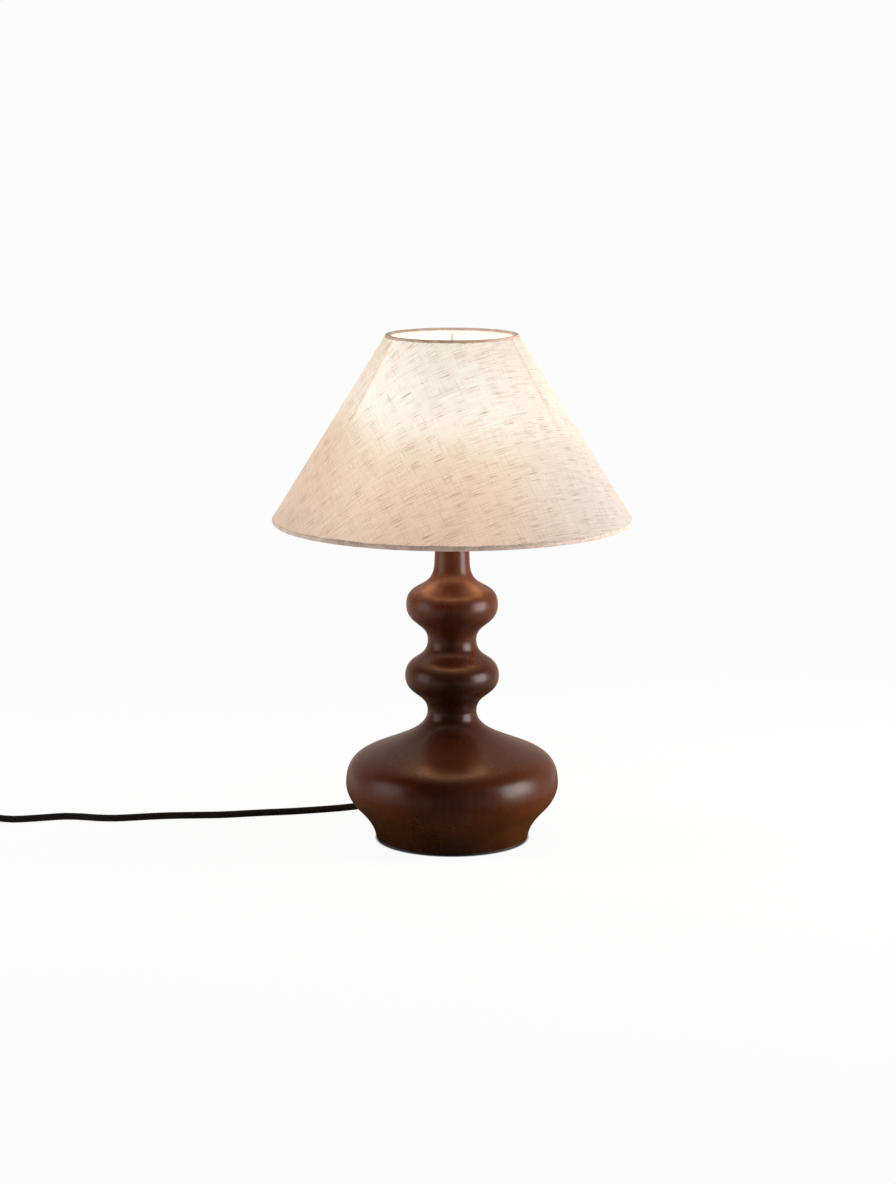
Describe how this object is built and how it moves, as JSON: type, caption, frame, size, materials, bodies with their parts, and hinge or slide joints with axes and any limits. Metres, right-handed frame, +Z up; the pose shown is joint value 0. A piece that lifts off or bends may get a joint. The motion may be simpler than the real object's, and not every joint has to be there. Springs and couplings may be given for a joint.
{
  "type": "table lamp",
  "caption": "Turned dark wood table lamp with a linen cone shade on a ring-clamped lampholder, an opal bulb, a textile lead with a rocker switch, a tied coil and a plug.",
  "frame": {"origin": "centre of the felt pad's underside, where the lamp stands", "axes": "+Z up along the turned stem; -Y is the pictured front; the lead leaves at +Y"},
  "size_m": [0.7354, 0.2994, 0.4279],
  "materials": {
    "dark_wood": "satin lacquer over a dark brown stain",
    "felt": "matt felt",
    "zinc_steel": "zinc plated",
    "brass": "plain",
    "black_plastic": "fine matt moulding",
    "white_plastic": "satin",
    "textile_cord": "braided textile sheath",
    "lead_brown": "smooth",
    "lead_blue": "smooth",
    "linen": "slub linen, translucent",
    "liner": "translucent film",
    "hem": "folded linen strip",
    "coated_wire": "white coating",
    "opal_dome": "opal, lit",
    "board": "white coated board"
  },
  "bodies": {
    "lamp": {"wood_bowl": "dark_wood", "wood_stem": "dark_wood", "felt_pad": "felt", "threaded_tube": "zinc_steel", "tube_washer": "zinc_steel", "tube_nut": "zinc_steel", "cord_bushing": "black_plastic", "cord_clamp": "black_plastic", "clamp_screw_left": "zinc_steel", "clamp_screw_right": "zinc_steel", "cord_inner_end": "textile_cord", "lead_live": "lead_brown", "lead_neutral": "lead_blue", "holder_washer": "zinc_steel", "holder_cap": "black_plastic", "holder_shell": "black_plastic", "holder_insert": "white_plastic", "holder_thread_shell": "brass", "centre_contact": "brass", "side_contact": "brass", "terminal_screw_live": "brass", "terminal_screw_neutral": "brass", "cord_run": "textile_cord", "switch_case_lower": "black_plastic", "switch_case_upper": "black_plastic", "switch_terminal_in": "brass", "switch_terminal_out": "brass", "switch_screw_1": "zinc_steel", "switch_screw_2": "zinc_steel", "cord_link": "textile_cord", "cord_coil": "textile_cord", "cord_tie": "felt", "cord_tail": "textile_cord", "plug_body": "black_plastic", "plug_pin_1": "brass", "plug_pin_2": "brass"},
    "shade_ring": {"shade_ring": "black_plastic"},
    "shade": {"shade_fabric": "linen", "shade_liner": "liner", "bottom_wire": "coated_wire", "top_wire": "coated_wire", "bottom_hem": "hem", "top_hem": "hem", "rib_1": "coated_wire", "rib_2": "coated_wire", "rib_3": "coated_wire", "arm_1": "coated_wire", "arm_2": "coated_wire", "arm_3": "coated_wire", "gallery_ring": "coated_wire"},
    "bulb_contact": {"bulb_tip": "brass"},
    "bulb": {"bulb_insulator": "black_plastic", "bulb_cap": "zinc_steel", "bulb_neck": "white_plastic", "led_board": "board", "bulb_dome": "opal_dome"},
    "rocker": {"switch_rocker": "black_plastic", "rocker_contact": "brass"}
  },
  "joints": [
    {"name": "shade_turn", "type": "hinge", "parent": "lamp", "child": "shade", "pos_m": [0, 0, 0.2872], "axis": [0, 0, 1], "continuous": true},
    {"name": "shade_ring_turn", "type": "hinge", "parent": "lamp", "child": "shade_ring", "pos_m": [0, 0, 0.289], "axis": [0, 0, 1], "range_deg": [0, 900]},
    {"name": "bulb_lift", "type": "slide", "parent": "lamp", "child": "bulb_contact", "axis": [0, 0, 1], "range_m": [0, 0.0128]},
    {"name": "bulb_turn", "type": "hinge", "parent": "bulb_contact", "child": "bulb", "pos_m": [0, 0, 0.2954], "axis": [0, 0, 1], "range_deg": [0, 1620]},
    {"name": "switch_rock", "type": "hinge", "parent": "lamp", "child": "rocker", "pos_m": [-0.446, 0.0445, 0.01], "axis": [0, 1, 0], "range_deg": [-16, 0]}
  ],
  "couplings": [
    {"joint": "bulb_lift", "follows": "bulb_turn", "m_per_rad": 0.000449}
  ]
}
